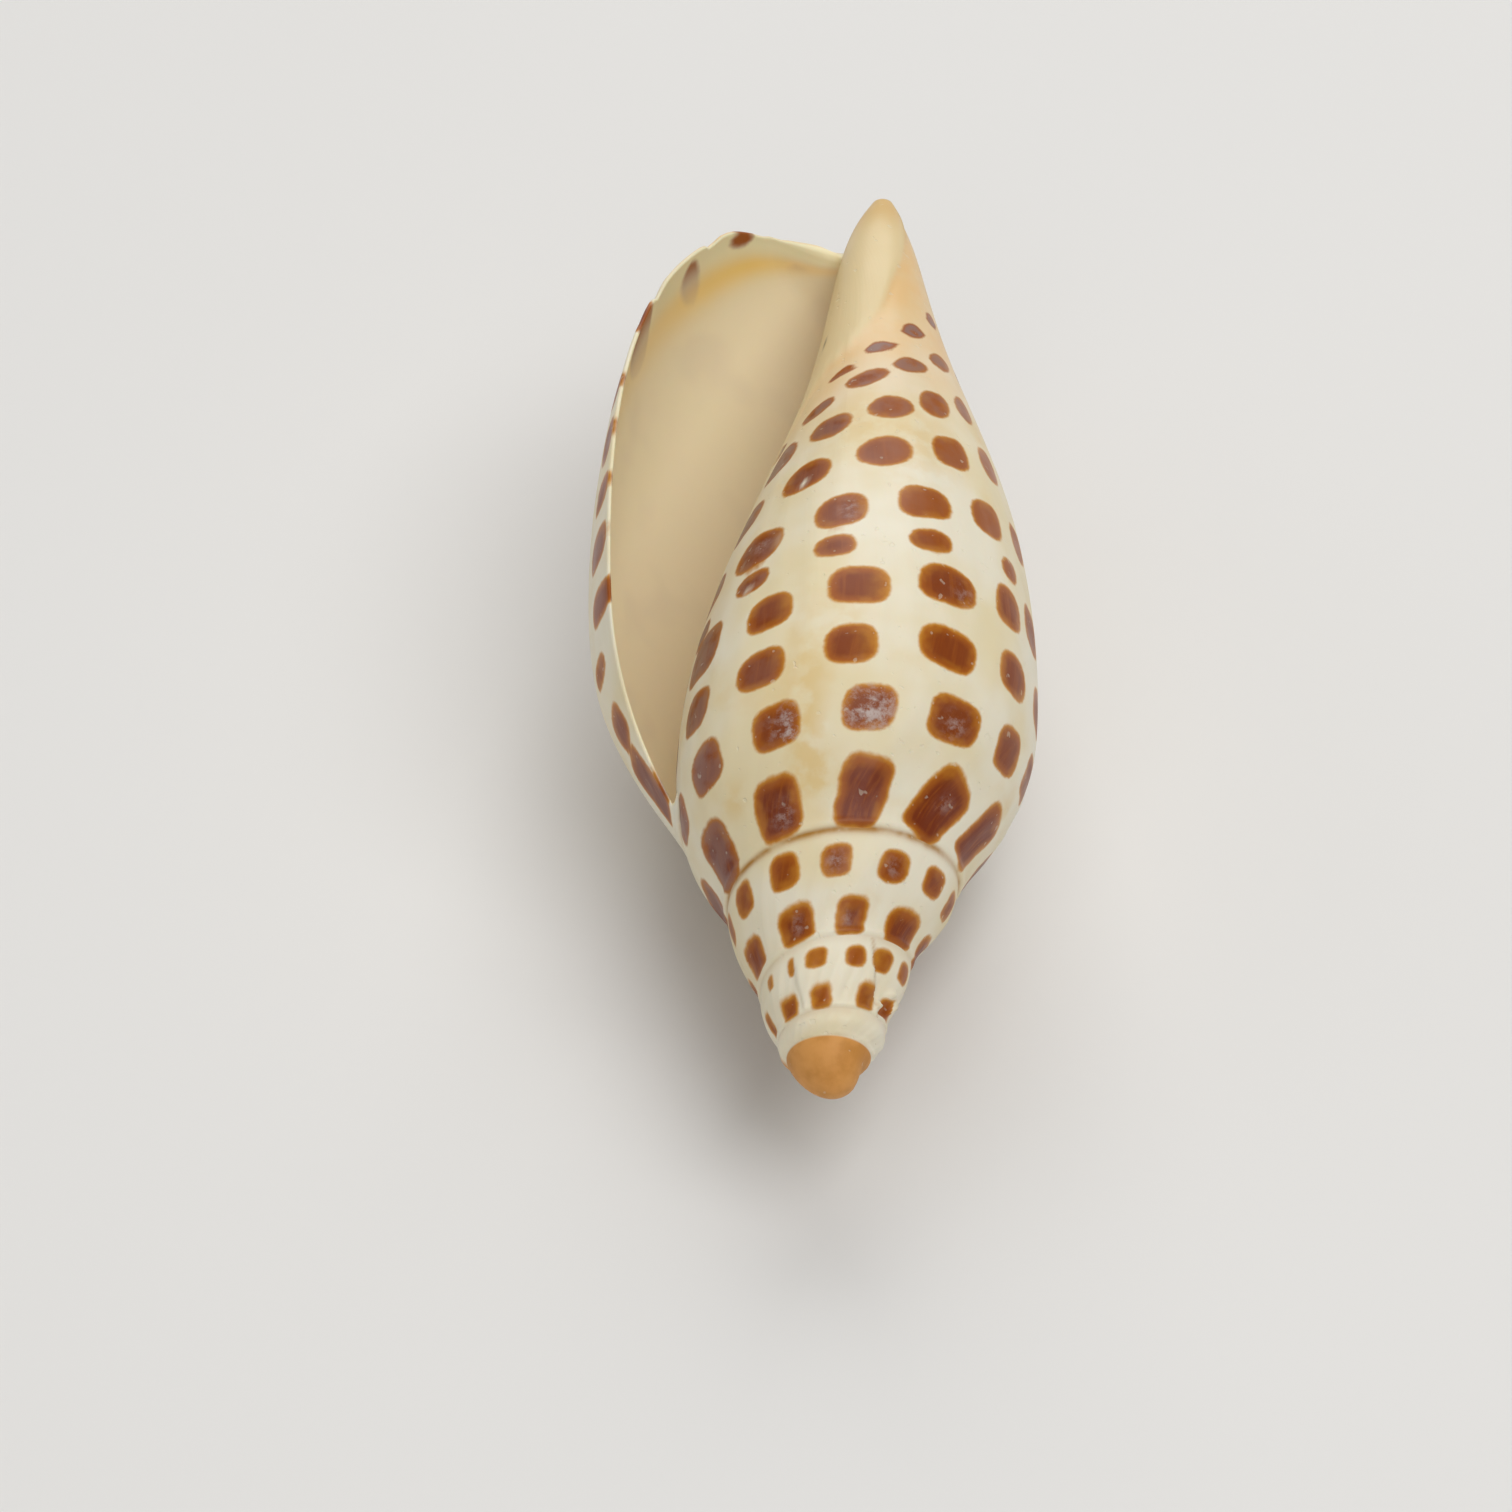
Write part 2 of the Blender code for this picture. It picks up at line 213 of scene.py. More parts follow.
SPOT_ROWS = (
    Row(4.2, 0, 0.0, 0.105, (
        (-3.035, 0.15, 0.02, 0.07), (-2.925, 0.1, 0.031, 0.085), (-2.825, 0.09, 0.03, 0.085),
        (-2.697, 0.1, 0.031, 0.08), (-2.603, 0.1, 0.032, 0.075), (-2.36, 0.095, 0.032, 0.08),
        (-2.0, 0.11, 0.036, 0.07), (-1.873, 0.09, 0.039, 0.078), (-1.763, 0.082, 0.031, 0.078),
        (-1.645, 0.073, 0.045, 0.082), (-1.53, 0.076, 0.036, 0.082), (-1.1, 0.1, 0.042, 0.1),
        (-0.99, 0.1, 0.034, 0.1), (-0.877, 0.101, 0.031, 0.099))),
    Row(4.2, 9, 0.0, 0.105, ((-0.772, 0.102, 0.03, 0.104),)),
    Row(4.2, 22, 0.0, 0.105, ((-0.672, 0.105, 0.035, 0.106), (-0.583, 0.115, 0.028, 0.098))),
    Row(4.2, 0, 0.0, 0.105, ((-0.483, 0.115, 0.028, 0.095), (-0.062, 0.135, 0.022, 0.078))),
    Row(3.2, 0, 0.0, 0.085, (
        (-2.965, 0.26, 0.012, 0.02), (-2.895, 0.258, 0.009, 0.025), (-2.832, 0.255, 0.025, 0.026),
        (-2.744, 0.251, 0.023, 0.029), (-2.674, 0.255, 0.031, 0.027), (-2.592, 0.254, 0.024, 0.027),
        (-2.04, 0.25, 0.02, 0.03), (-1.967, 0.248, 0.024, 0.032), (-1.88, 0.243, 0.026, 0.035),
        (-1.798, 0.24, 0.023, 0.034), (-1.71, 0.234, 0.025, 0.034), (-1.63, 0.238, 0.023, 0.033),
        (-1.557, 0.24, 0.02, 0.033), (-1.035, 0.285, 0.022, 0.036), (-0.955, 0.286, 0.027, 0.039),
        (-0.865, 0.282, 0.0265, 0.037), (-0.776, 0.288, 0.0245, 0.04), (-0.692, 0.291, 0.0275, 0.04),
        (-0.615, 0.298, 0.021, 0.04), (-0.55, 0.315, 0.02, 0.04), (-0.045, 0.245, 0.016, 0.032))),
    Row(2.8, 4, 0.0, 0.085, (
        (-1.05, 0.385, 0.024, 0.026), (-0.967, 0.382, 0.026, 0.027), (-0.879, 0.375, 0.0255, 0.0255),
        (-0.795, 0.381, 0.025, 0.026), (-0.707, 0.389, 0.0295, 0.027), (-0.627, 0.399, 0.021, 0.026),
        (-0.56, 0.405, 0.02, 0.025), (-0.03, 0.331, 0.018, 0.018))),
    Row(2.8, 4, 0.0, 0.085, (
        (-1.05, 0.452, 0.027, 0.024), (-0.965, 0.451, 0.031, 0.026), (-0.874, 0.442, 0.0255, 0.0195),
        (-0.79, 0.451, 0.028, 0.0205), (-0.708, 0.46, 0.028, 0.02), (-0.634, 0.468, 0.0205, 0.019),
        (-0.58, 0.475, 0.02, 0.019), (0.0, 0.39, 0.02, 0.02))),
    Row(2.5, 2, 0.1, 0.085, (
        (-0.985, 0.488, 0.02, 0.011), (-0.9, 0.491, 0.0205, 0.0115), (-0.813, 0.496, 0.021, 0.0115),
        (-0.722, 0.502, 0.023, 0.011), (-0.625, 0.507, 0.014, 0.0105), (0.0, 0.446, 0.018, 0.013))),
    Row(2.5, 3, 0.1, 0.085, (
        (-1.07, 0.53, 0.028, 0.018), (-0.985, 0.53, 0.028, 0.018), (-0.9, 0.527, 0.0305, 0.0185),
        (-0.81, 0.532, 0.027, 0.017), (-0.725, 0.539, 0.029, 0.0165), (-0.65, 0.542, 0.02, 0.016),
        (-0.585, 0.547, 0.02, 0.016), (0.004, 0.482, 0.014, 0.01))),
    Row(2.3, 4, 0.2, 0.085, (
        (-1.04, 0.582, 0.03, 0.016), (-0.95, 0.584, 0.03, 0.016), (-0.855, 0.585, 0.0315, 0.016),
        (-0.763, 0.591, 0.032, 0.016), (-0.681, 0.596, 0.025, 0.0175), (-0.61, 0.603, 0.02, 0.017),
        (0.004, 0.517, 0.012, 0.014))),
    Row(2.2, 4, 0.3, 0.085, ((-0.3, 0.575, 0.02, 0.012), (0.002, 0.552, 0.012, 0.01))),
    Row(2.1, 6, 0.4, 0.085, (
        (-1.02, 0.63, 0.032, 0.014), (-0.925, 0.633, 0.036, 0.015), (-0.835, 0.634, 0.033, 0.012),
        (-0.75, 0.64, 0.0345, 0.0135), (-0.681, 0.646, 0.024, 0.0135), (-0.62, 0.653, 0.021, 0.013),
        (-0.012, 0.605, 0.03, 0.018))),
    Row(1.9, 4, 0.7, 0.085, (
        (-0.97, 0.66, 0.03, 0.007), (-0.871, 0.666, 0.033, 0.0075), (-0.784, 0.679, 0.0395, 0.009),
        (-0.705, 0.688, 0.035, 0.0095), (-0.63, 0.7, 0.029, 0.01), (-0.024, 0.683, 0.026, 0.013))),
    Row(1.8, 2, 1.0, 0.085, (
        (-0.835, 0.697, 0.03, 0.0045), (-0.756, 0.712, 0.036, 0.006), (-0.68, 0.731, 0.031, 0.0085),
        (-0.605, 0.755, 0.022, 0.009), (-0.004, 0.748, 0.012, 0.016))),
    Row(1.8, 2, 1.0, 0.085, ((-0.22, 0.815, 0.02, 0.01), (-0.088, 0.81, 0.024, 0.012))),
)

# How much a spot's half width, half height, tilt in degrees, shape and wear may differ from its row's.
SPOT_VARIES = np.array((0.04, 0.04, 4, 0.1, 0.1))
SPOT_SEED = 7

# Spots of a row that are listed more pitches apart than this have others between them.
WIDE_GAP = 1.5

# How far the spots' edges wander in turn and along, over what sizes, and how far a spot can reach.
WANDER = (0.0028, 0.0028)
WANDER_SIZE = (0.035, 0.045)
SPOT_REACH = (0.09, 0.15)

# Wear, and near the mouth a painted reflection that greys the spots: on the last whorl it grows from one of
# these turns to the other, and the glaze's film adds wear of its own.
WEAR_AND_SHEEN_TURNS = (-0.83, -0.97)
WEAR_AND_SHEEN_OLDEST = -1.2
WEAR_AND_SHEEN_MORE = 0.6
GLAZED_WEAR = 0.6

# Rust in the spots, as shares of full rust: on the old whorls, with more below the shoulder, and on the
# last whorl low down and far from the mouth.
OLD_RUST_TURNS = (-1.1, -2.6)
OLD_RUST = 0.35
OLD_RUST_BELOW = 0.45
LATE_RUST_TURNS = (-0.84, -0.72)
LATE_RUST_ENDS = -0.3
LATE_RUST_ALONG = (0.42, 0.54)
LATE_RUST = 0.8
BELOW_SHOULDER = (0.15, 0.21)
RUST_BELOW = 0.25

# The spots leave the crumpled ridges bare, by that many millimetres and over that share of their size.
BARE = 2.0
BARE_SHARE = 0.75

# Patches, each given by its turn, along, half sizes in both and strength: yellow stains, rubbed places in
# the spots under a painted highlight, golden places in the spots, a dark speck beside the glaze, and small
# white pits whose white is partly a painted glint.
PATCHES = {
    "stain": ((-0.835, 0.28, 0.02, 0.14, 1.0), (-0.825, 0.17, 0.03, 0.05, 1.0),
              (-0.93, 0.19, 0.02, 0.04, 0.8), (-0.8, 0.42, 0.02, 0.05, 0.5),
              (-0.72, 0.6, 0.05, 0.04, 0.7), (-0.8, 0.63, 0.06, 0.04, 0.6)),
    # Rubbed places: worn spots under a painted highlight's grey-white haze.
    "rubbed_and_sheen": ((-0.774, 0.288, 0.028, 0.045, 1.0), (-0.85, 0.275, 0.016, 0.035, 1.0),
               (-0.69, 0.285, 0.01, 0.022, 0.6), (-0.87, 0.08, 0.014, 0.04, 0.5),
               (-0.665, 0.13, 0.01, 0.02, 0.4), (-0.8, 0.533, 0.01, 0.01, 0.4),
               (-0.895, 0.53, 0.01, 0.008, 0.4),
               (-0.69, 0.455, 0.01, 0.012, 0.4), (-1.71, 0.235, 0.012, 0.02, 0.4),
               (-1.8, 0.24, 0.012, 0.02, 0.6), (-1.87, 0.1, 0.012, 0.04, 0.4),
               (-1.77, 0.08, 0.01, 0.03, 0.4)),
    "gilt": ((-2.69, 0.255, 0.014, 0.035, 1.0), (-2.895, 0.258, 0.02, 0.03, 0.5),
             (-2.85, 0.08, 0.014, 0.05, 0.9), (-2.832, 0.255, 0.03, 0.03, 0.45),
             (-2.965, 0.26, 0.02, 0.03, 0.6), (-0.765, 0.453, 0.012, 0.02, 0.9),
             (-0.774, 0.388, 0.012, 0.025, 0.7), (-0.856, 0.39, 0.01, 0.02, 0.8),
             (-0.852, 0.449, 0.01, 0.02, 0.8)),
    "speck": ((-0.928, 0.752, 0.006, 0.004, 1.0),),
    # Pits: their white is partly a painted glint.
    "pit_and_glint": ((-0.856, 0.578, 0.004, 0.0035, 1.0), (-0.903, 0.485, 0.004, 0.003, 0.8),
            (-0.918, 0.524, 0.003, 0.002, 0.6), (-0.875, 0.525, 0.005, 0.003, 0.5)),
}

# Dirt along the seams, in millimetres wide, and a painted shadow at the foot of the sunken ledge, in turns
# wide.
SEAM_DIRT_WIDTH = 0.26
OLD_SEAM_DIRT = 0.2
LEDGE_SHADOW_WIDTH = 0.005
LEDGE_SHADOW = 0.6

# Where the other colours come in: the front's orange and the tip's tan along the last whorl, the inner
# face's colour deep in the mouth, and the dome's colour on the first whorl and up the dome.
FRONT_ALONG = (0.6, 0.74)
TIP_ALONG = (0.86, 0.96)
DEEP_TURNS = (-1.08, -1.28)
DEEP_ALONG = (0.3, 0.33)
DOME_TURNS = (-4.06, -4.14)
DOME_SHARES = (0, 0.06)

# The golden band inside the lip: its middle's place behind the lip's edge, in turns, and its strength.
GOLD_ALONG = (0.4, 0.52, 0.62, 0.7, 0.76, 0.82, 0.88)
GOLD_AGE = (-0.014, -0.022, -0.036, -0.044, -0.042, -0.045, -0.05)
GOLD_STRENGTH = (0.0, 0.35, 0.55, 0.9, 1.0, 0.6, 0.0)
GOLD_WIDTH = 0.021

# The pale zone inside the lip's edge: how far in it reaches, in hundredths of a turn, at places along the
# lip, over which shares of that reach it fades, and where along the lip it comes in.
PALE_ALONG = (0.1, 0.25, 0.5, 0.65)
PALE_REACH = (0.3, 0.9, 1.3, 3.0)
PALE_FADE = (1.3, 0.3)
PALE_START = (0, 0.2)

# Depths behind the lip's edge are in hundredths of a turn, up to this many. Across the rounded edge, from 0
# outside to 1 inside, the inner face's colour comes in over one stretch, and the outer one's ends.
DEEPEST = 50
INNER_FROM = (0.25, 0.75)
OUTER_UNTIL = (1, 0.5)

# How often the fine streaks change with age, per turn, and along the whorl.
STREAKS = (("age", 100), ("along", 6))


def smooth(x):
    """0 below 0, 1 above 1, and an even S-curve between."""
    x = np.clip(x, 0, 1)
    return x * x * (3 - 2 * x)


def ramp(x, start, end):
    """0 up to the start, 1 from the end on, and an even S-curve between. The end may be the lower one."""
    return smooth((x - start) / (end - start))


def natural_spline(knots, values):
    """A function that runs smoothly through one row of values at each knot."""
    knots, values = np.asarray(knots, float), np.asarray(values, float)
    gaps = np.diff(knots)
    slopes = np.diff(values, axis=0) / gaps[:, None]
    matrix, right = np.eye(len(knots)), np.zeros_like(values)
    for k in range(1, len(gaps)):
        matrix[k, k - 1:k + 2] = gaps[k - 1], 2 * (gaps[k - 1] + gaps[k]), gaps[k]
        right[k] = 6 * (slopes[k] - slopes[k - 1])
    curves = np.linalg.solve(matrix, right)

    def at(x):
        x = np.asarray(x, float)
        k = np.clip(np.searchsorted(knots, x, side="right") - 1, 0, len(gaps) - 1)
        gap, past, left = (step[..., None] for step in (gaps[k], x - knots[k], knots[k + 1] - x))
        line = (values[k] * left + values[k + 1] * past) / gap
        bow = curves[k] * (left ** 3 / gap - gap * left) + curves[k + 1] * (past ** 3 / gap - gap * past)
        return line + bow / 6

    return at


log_seam = natural_spline(SEAM_TURNS, np.column_stack((np.log(SEAM_RADIUS), SEAM_DEPTH)))
mark_weights = natural_spline(MARKS, np.eye(len(MARKS)))
lip_swing = natural_spline(MARKS, np.array(LIP_SWING)[:, None])


def seam(turn):
    """Profile of the seam above the whorl."""
    found = log_seam(turn)
    found[..., 0] = np.exp(found[..., 0])
    return found


def marks(turn):
    """Profile of the whorl's eight marks at each turn."""
    above, below = seam(turn), seam(turn + 1)
    share = SHOULDER_SHARE + SHOULDER_GROWTH * turn[..., None]
    found = [above, above + share * (below - above), below]
    for (radius, depth), (old_radius, old_depth) in zip(PROFILE_AT_LIP, PROFILE_TURN_BEFORE):
        grown = (radius * (radius / old_radius) ** turn, depth + (depth - old_depth) * turn)
        found.append(np.stack(grown, axis=-1))
    found.append(np.broadcast_to(FRONT_END, above.shape))
    return np.stack(found, axis=-2)


def folds(turn, along):
    """Height of the folds on the pillar. They die out before the mouth."""
    phase = (along - FOLDS_FROM) / (FOLDS_TO - FOLDS_FROM)
    ridges = np.sin(math.pi * FOLD_COUNT * np.clip(phase, 0, 1)) ** 4
    return FOLD_HEIGHT * ridges * ramp(turn, *FOLDS_FADE)


def outer_face(turn, along):
    """Profile of the wall's outer face."""
    turn, along = np.broadcast_arrays(np.asarray(turn, float), np.asarray(along, float))
    found = np.einsum("...k,...kc->...c", mark_weights(along), marks(turn))
    found[..., 0] += folds(turn, along)
    return found


def inner_face(turn, along):
    """Profile of the wall's inner face, which meets the whorl within at both corners of the hollow."""
    share = along / FRONT_CORNER
    outer, floor = outer_face(turn, along), outer_face(turn - 1, ROOT + share * (FRONT_CORNER - ROOT))
    wall = LIP_EDGE + (WALL - LIP_EDGE) * ramp(turn, 0, -LIP_THINS_OVER)
    part = np.clip(wall / np.linalg.norm(floor - outer, axis=-1), 0, THICKEST_SHARE)
    away = smooth(share / CORNER_REACH[0]) * smooth((1 - share) / CORNER_REACH[1])
    return outer + (floor - outer) * (1 - (1 - part) * away)[..., None]


def in_space(turn, profile):
    """Points in space, on a shell whose axis runs along +Y and whose lip starts straight up."""
    radius, depth = profile[..., 0], profile[..., 1]
    bend = FRONT_BEND * np.clip((depth - FRONT_BEND_START) / FRONT_BEND_REACH, 0, None) ** 2
    lean = TIP_OFFSET * np.clip(1 - depth / TIP_OFFSET_REACH, 0, 1) ** 2
    x, z = 0.0, 0.0
    for reach, around in ((radius, turn), (bend, BEND_TURN), (lean, TIP_TURN)):
        x = x + reach * np.sin(2 * math.pi * around)
        z = z + reach * np.cos(2 * math.pi * around)
    return np.stack((x, depth, z), axis=-1)


def on_axis(depth):
    """The point in space at a depth on the axis."""
    return in_space(np.array(0.0), np.array((0.0, depth)))


def growth(turn, along):
    """How old a place is, as the turn at which the lip's edge passed it."""
    return turn - lip_swing(along)[..., 0]


def glaze(turn, along, edge):
    """1 under the glaze beside the mouth, 0 outside it, with an edge that wide in turns."""
    border = np.interp(along, GLAZE_ALONG, GLAZE_TURN)
    return ramp(turn, border + edge, border) * ramp(along, NEXT_SEAM, ROOT)


def chips(column, along):
    """How far, in turns, the lip's chipped edge stands back. Older columns run straight."""
    back = sum(depth * np.exp(-((along - middle) / width) ** 2) for middle, width, depth in LIP_CHIPS)
    return -back * ramp(column, -CHIPS_REACH_BACK, 0)


def relief(turn, along):
    """Height of the waves, the healed breaks, the glaze and the seams, above the plain outer face."""
    age = growth(turn, along)
    swing = WAVE_SWING * np.sin(WAVE_SWING_RATE * age)
    waves = sum(height * np.sin(2 * math.pi * count * age + swing)
                for count, height in zip(WAVES_PER_TURN, WAVE_HEIGHTS))
    shown = ramp(along, *RELIEF_START) * ramp(along, *RELIEF_END) * (1 - glaze(turn, along, GLAZE_FILM))
    shown *= np.where(turn < SPIRE_END, ramp(along, NEXT_SEAM, NEXT_SEAM - RELIEF_OFF_SEAM), 1)
    raised = GLAZE_HEIGHT * glaze(turn, along, GLAZE_EDGE) * (turn > GLAZE_OLDEST)
    return (waves + scars(turn, along)) * shown + raised + seam_relief(turn, along)


def seam_relief(turn, along):
    """Height of the groove along the seams and of the rim below it."""
    below, above = seam_distances(turn, along)
    depth = GROOVE_DEPTH * (OLD_GROOVE_SHARE + (1 - OLD_GROOVE_SHARE) * newest_seam(turn, below, above))
    groove = -depth * np.exp(-(np.minimum(below, above) / GROOVE_WIDTH) ** 2)
    return groove + RIM_HEIGHT * np.exp(-((below - RIM_PLACE) / RIM_WIDTH) ** 2)


def newest_seam(turn, below, above):
    """1 beside the last turn of the seam, which is the crispest, 0 beside the older ones."""
    own_turn = np.where(below < above, turn, turn + 1)
    return ramp(own_turn, *NEW_SEAM_TURNS)


def seam_distances(turn, along):
    """Rough distances in millimetres from the seam above and, on the spire, from the next seam."""
    size = np.linalg.norm(seam(turn + 1) - seam(turn), axis=-1) / NEXT_SEAM
    return along * size, np.where(turn < SPIRE_END, np.abs(NEXT_SEAM - along) * size, FAR)


def scars(turn, along):
    """Height of the healed breaks and of the crumpled growth beside them."""
    height = 0.0
    for ledge, step, reach in SCARS:
        past = turn - np.interp(along, SCAR_ALONG, ledge)
        height += step * smooth(past / SCAR_EDGE) * (1 - smooth(past / reach))
    for middle, middle_along, half_width, half_height, ridge in CRUMPLES:
        away = ((turn - middle) / half_width) ** 2 + ((along - middle_along) / half_height) ** 2
        height += ridge * np.exp(-away)
    return height


def row_places():
    """Where along a whorl the mesh has its rows, and the numbers of the rows that later steps need."""
    stops = (0, NEXT_SEAM, ROOT, FOLDS_FROM, FOLDS_TO, FRONT_CORNER, 1)
    counts = (SPIRE_ROWS, ROOT_ROWS, UPPER_ROWS, MIDDLE_ROWS, LOWER_ROWS, FRONT_ROWS)
    parts = [np.linspace(start, end, count, endpoint=False)
             for start, end, count in zip(stops, stops[1:], counts)]
    closer = (1 - np.cos(math.pi * parts[0] / NEXT_SEAM)) / 2 * NEXT_SEAM
    parts[0] += SEAM_CROWDING * (closer - parts[0])
    rows = np.concatenate(parts + [[1.0]])
    return rows, SPIRE_ROWS, SPIRE_ROWS + ROOT_ROWS, len(rows) - 1 - FRONT_ROWS


def cells(grid):
    """The corners of each cell of a grid, as lists of four."""
    grid = np.asarray(grid)
    corners = (grid[:-1, :-1], grid[:-1, 1:], grid[1:, 1:], grid[1:, :-1])
    return np.stack(corners, axis=-1).reshape(-1, 4).tolist()


class Skin:
    """A mesh in the making: points, places for the paint, and faces whose corners have one of each."""

    def __init__(self):
        self.points, self.places, self.faces, self.corners = [], [], [], []

    def add(self, points):
        """Add points, and give back their numbers in the same layout."""
        start = len(self.points)
        self.points.extend(points.reshape(-1, 3))
        return np.arange(start, len(self.points)).reshape(points.shape[:-1])

    def place(self, turn, along, inside=0.0, dome=0.0):
        """Add places of the paint, and give back their numbers in the same layout."""
        layers = np.stack(np.broadcast_arrays(turn, along, inside, dome), axis=-1)
        start = len(self.places)
        self.places.extend(layers.reshape(-1, 4))
        return np.arange(start, len(self.places)).reshape(layers.shape[:-1])

    def face(self, points, places):
        """Add a face. Corners that are one point count once."""
        distinct = dict(zip(map(int, points), map(int, places)))
        if len(distinct) > 2:
            self.faces.append(list(distinct.keys()))
            self.corners.extend(distinct.values())

    def sheet(self, points, places):
        """Fill a grid with four-sided faces."""
        for cell_points, cell_places in zip(cells(points), cells(places)):
            self.face(cell_points, cell_places)

    def fan(self, points, places, centre, centre_place):
        """Close a loop of points with a point at its middle."""
        middle = self.add(np.asarray(centre, float))
        for a, b in zip(range(len(points)), np.roll(range(len(points)), -1)):
            self.face((points[a], points[b], middle), (places[a], places[b], centre_place))


def outer_grid(skin, rows, seam_row):
    """Points of the outer face. The spire starts as a strip of no width that soon opens out."""
    columns = np.arange(round(SEAM_TURNS[0] * TURN), 1) / TURN
    opened = np.sin(math.pi / 2 * np.clip((columns - columns[0]) / START_TAPER, 0, 1))[:, None]
    turn = columns[:, None] + lip_swing(rows)[:, 0] * opened + chips(columns[:, None], rows)
    profile = outer_face(turn, rows)
    profile[..., 0] += relief(turn, rows)
    start = seam(turn + 1)
    spire = slice(0, seam_row + 1)
    profile[:, spire] = start[:, spire] + (profile[:, spire] - start[:, spire]) * opened[..., None]
    return turn, profile, skin.add(in_space(turn, profile))


def dome_ring(turn, profile, share):
    """Profile of the dome at a share of the way to its tip."""
    rise = math.pi / 2 * share
    depth = profile[..., 1] + (DOME_TIP - profile[..., 1]) * math.sin(rise) ** DOME_CURVE[1]
    away = np.minimum((turn - DENT_TURN) % 1, (DENT_TURN - turn) % 1) / DENT_TURNS
    dent = DOME_DENT * np.exp(-away ** 2 - ((share - DENT_SHARE) / DENT_SHARES) ** 2)
    dent *= ramp(share, 0, DENT_SHARE)
    return np.stack((profile[..., 0] * math.cos(rise) ** DOME_CURVE[0] - dent, depth), axis=-1)


def close_spire(skin, turn, profile, points):
    """Cap the spire with a dome whose rings shrink towards the tip."""
    rings, places = [points], [skin.place(turn, 0.0, dome=0.0)]
    for k in range(1, DOME_RINGS):
        share = k / DOME_RINGS
        rings.append(skin.add(in_space(turn, dome_ring(turn, profile, share))))
        places.append(skin.place(turn, 0.0, dome=share))
    skin.sheet(*([np.append(ring, ring[0]) for ring in grid] for grid in (rings, places)))
    skin.fan(rings[-1], places[-1], on_axis(DOME_TIP), skin.place(0.0, 0.0, dome=1.0))


def close_hollow(skin, points):
    """Close the far end of the hollow."""
    deep = np.full(len(points), skin.place(-1.0, ROOT, inside=1.0))
    skin.fan(points, deep, np.mean(np.array(skin.points)[points], axis=0), deep[0])


def round_lip(skin, outer, inner, turn, along):
    """Join the two faces of the wall along the lip's edge, with rows that make it round."""
    points = np.array(skin.points)
    out, back = points[outer], points[inner]
    ahead = np.cross((0, 1, 0), out)
    ahead /= np.linalg.norm(ahead, axis=-1)[:, None]
    thickness = np.linalg.norm(out - back, axis=-1)[:, None]
    strips, places = [outer], [skin.place(turn, along)]
    for k in range(1, LIP_RINGS):
        angle = math.pi * k / LIP_RINGS
        across, forward = (1 - math.cos(angle)) / 2, math.sin(angle) * LIP_ROUNDING
        edge = skin.add(out + (back - out) * across + ahead * thickness * forward)
        edge[[0, -1]] = outer[[0, -1]]
        strips.append(edge)
        places.append(skin.place(turn, along, inside=across))
    skin.sheet(strips + [inner], places + [skin.place(turn, along, inside=1.0)])


def build_skin():
    """The whole shell as one closed skin."""
    rows, seam_row, root_row, corner_row = row_places()
    skin = Skin()
    turn, profile, outer = outer_grid(skin, rows, seam_row)
    places = skin.place(turn, np.broadcast_to(rows, turn.shape))

    # Columns: at the lip, a turn before it, where its upper corner meets the whorl, and where the hollow
    # and its floor start.
    lip = len(outer) - 1
    under_lip = lip - TURN
    lip_corner = under_lip - LAG
    hollow = lip - round(HOLLOW_TURNS * TURN)
    floor_start = hollow - TURN - LAG

    # Each whorl's seam row is the top row of the whorl a turn later.
    outer[:lip_corner + 1, seam_row] = outer[TURN + LAG:, 0]
    outer[0, :seam_row] = outer[0, seam_row]
    outer[lip, -1] = outer[under_lip, -1]

    inner_turn = turn[hollow:, :corner_row + 1]
    inner_along = np.broadcast_to(rows[:corner_row + 1], inner_turn.shape)
    inner = skin.add(in_space(inner_turn, inner_face(inner_turn, inner_along)))
    inner[:, 0] = outer[floor_start:lip_corner + 1, root_row]
    inner[:, -1] = outer[hollow - TURN:under_lip + 1, corner_row]

    for part in ((slice(None), slice(0, seam_row + 1)),
                 (slice(lip_corner, None), slice(seam_row, root_row + 1)),
                 (slice(floor_start, None), slice(root_row, corner_row + 1)),
                 (slice(under_lip, None), slice(corner_row, None)),
                 ([lip, under_lip], slice(corner_row, None))):
        skin.sheet(outer[part], places[part])
    skin.sheet(inner, skin.place(inner_turn, inner_along, inside=1.0))
    round_lip(skin, outer[lip, :corner_row + 1], inner[-1], inner_turn[-1], inner_along[-1])
    corner_gap = (lip_corner, slice(root_row, seam_row - 1, -1))
    skin.face(outer[corner_gap], places[corner_gap])

    first_ring = slice(1, TURN + LAG + 1)
    close_spire(skin, turn[first_ring, 0], profile[first_ring, 0], outer[first_ring, 0])
    front = (slice(under_lip, lip), -1)
    skin.fan(outer[front], places[front], on_axis(FRONT_END[1] + FRONT_ROUNDING), places[lip, -1])
    close_hollow(skin, np.concatenate((inner[0], outer[floor_start:floor_start + LAG, corner_row][::-1],
                                       outer[floor_start, root_row + 1:corner_row][::-1])))
    return skin


class Spot(NamedTuple):
    """One spot: its place, half sizes in millimetres, tilt in radians, shape, wear, which near the mouth is
    partly a painted reflection, and scale there.
    """
    turn: float
    along: float
    half_width: float
    half_height: float
    tilt: float
    boxy: float
    wear: float
    per_turn: float
    per_along: float


def fill_gaps(spots, pitch):
    """The listed spots, and evenly spaced ones between two of them that are well over a pitch apart."""
    filled = []
    for start, end in zip(spots, spots[1:]):
        gap = end[0] - start[0]
        count = round(gap / pitch) if gap > WIDE_GAP * pitch else 1
        filled.extend(np.linspace(start, end, count, endpoint=False))
    return filled + [spots[-1]]


def millimetres_at(turn, along):
    """Millimetres in one turn, and in one unit of along, near a place on the outer face."""
    step = 0.01
    near, far = outer_face(turn, along), outer_face(turn, along + step)
    return 2 * math.pi * near[..., 0], np.linalg.norm(far - near, axis=-1) / step


